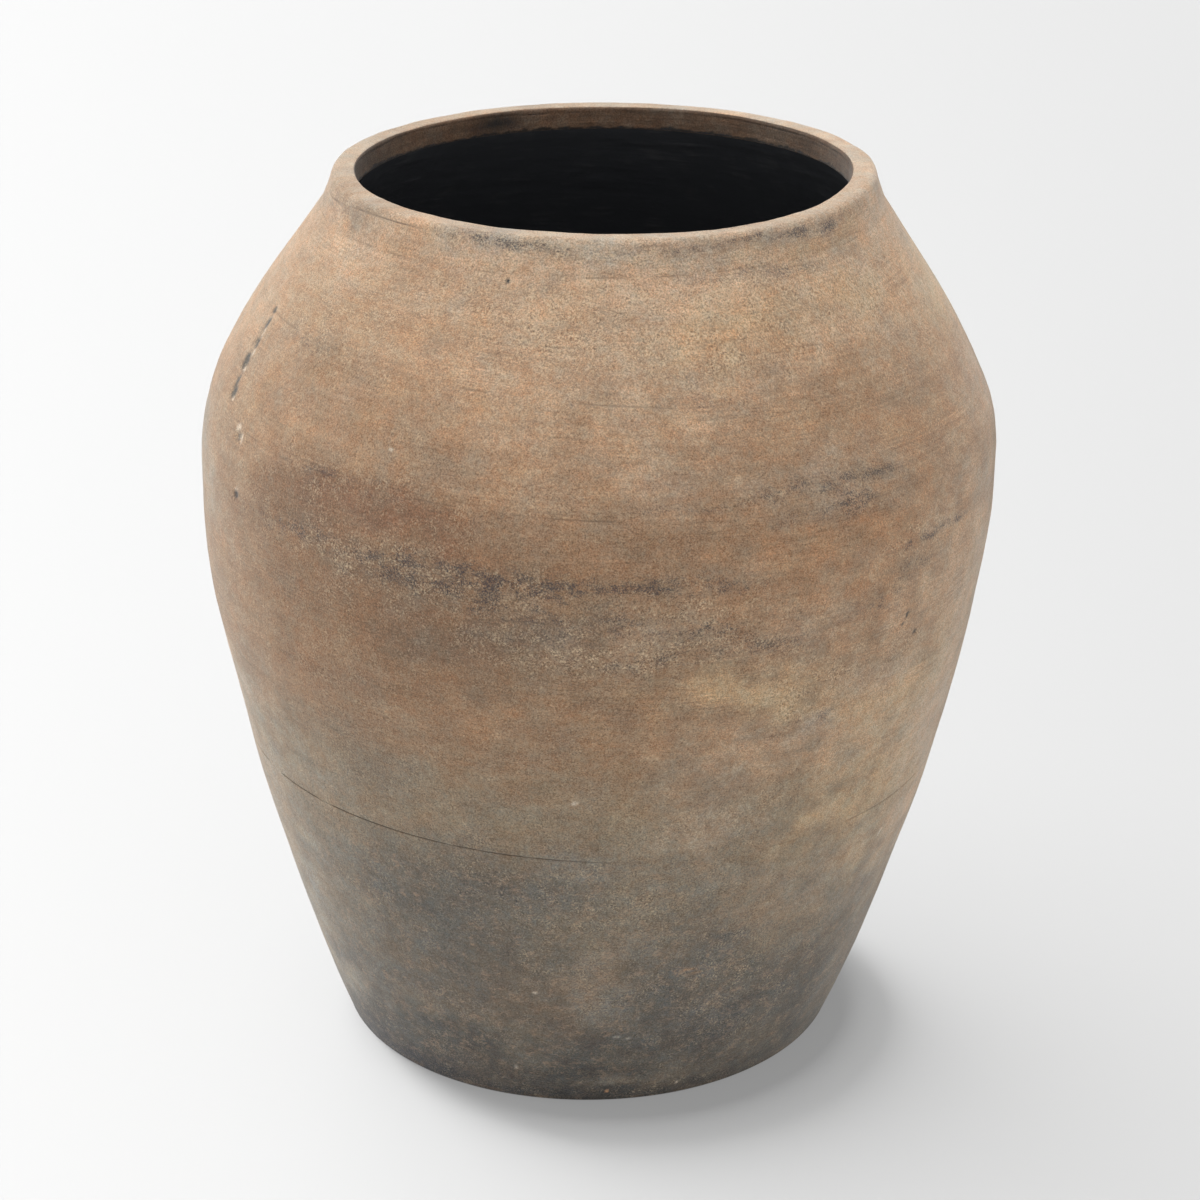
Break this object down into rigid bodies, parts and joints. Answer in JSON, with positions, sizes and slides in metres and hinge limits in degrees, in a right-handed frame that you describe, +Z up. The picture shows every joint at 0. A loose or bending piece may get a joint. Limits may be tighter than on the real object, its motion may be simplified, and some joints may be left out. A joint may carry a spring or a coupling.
{
  "type": "terracotta urn vase",
  "caption": "Wide-mouthed, broad-shouldered terracotta floor urn, hand-built from luted clay rings on a flat foot, with a plain lip and a black-sealed inside.",
  "frame": {"origin": "on the floor, under the middle of the widest ring of the belly", "axes": "+Z up along the turning axis, -Y towards the front, where the picture was taken from, +X to the right as seen from there"},
  "size_m": [0.4428, 0.4426, 0.5],
  "materials": {
    "smoked_clay": "matte, unglazed earthenware greyed by smoke",
    "baked_clay": "matte, unglazed red-brown earthenware",
    "worn_clay": "matte, worn pale earthenware",
    "black_seal": "matte black brushed sealer"
  },
  "bodies": {
    "root": {"foot_slab": "smoked_clay", "lower_wall": "smoked_clay", "belly_wall": "baked_clay", "shoulder_wall": "baked_clay", "collar_wall": "baked_clay", "lip_ring": "worn_clay", "interior_seal_coat": "black_seal"}
  },
  "joints": []
}
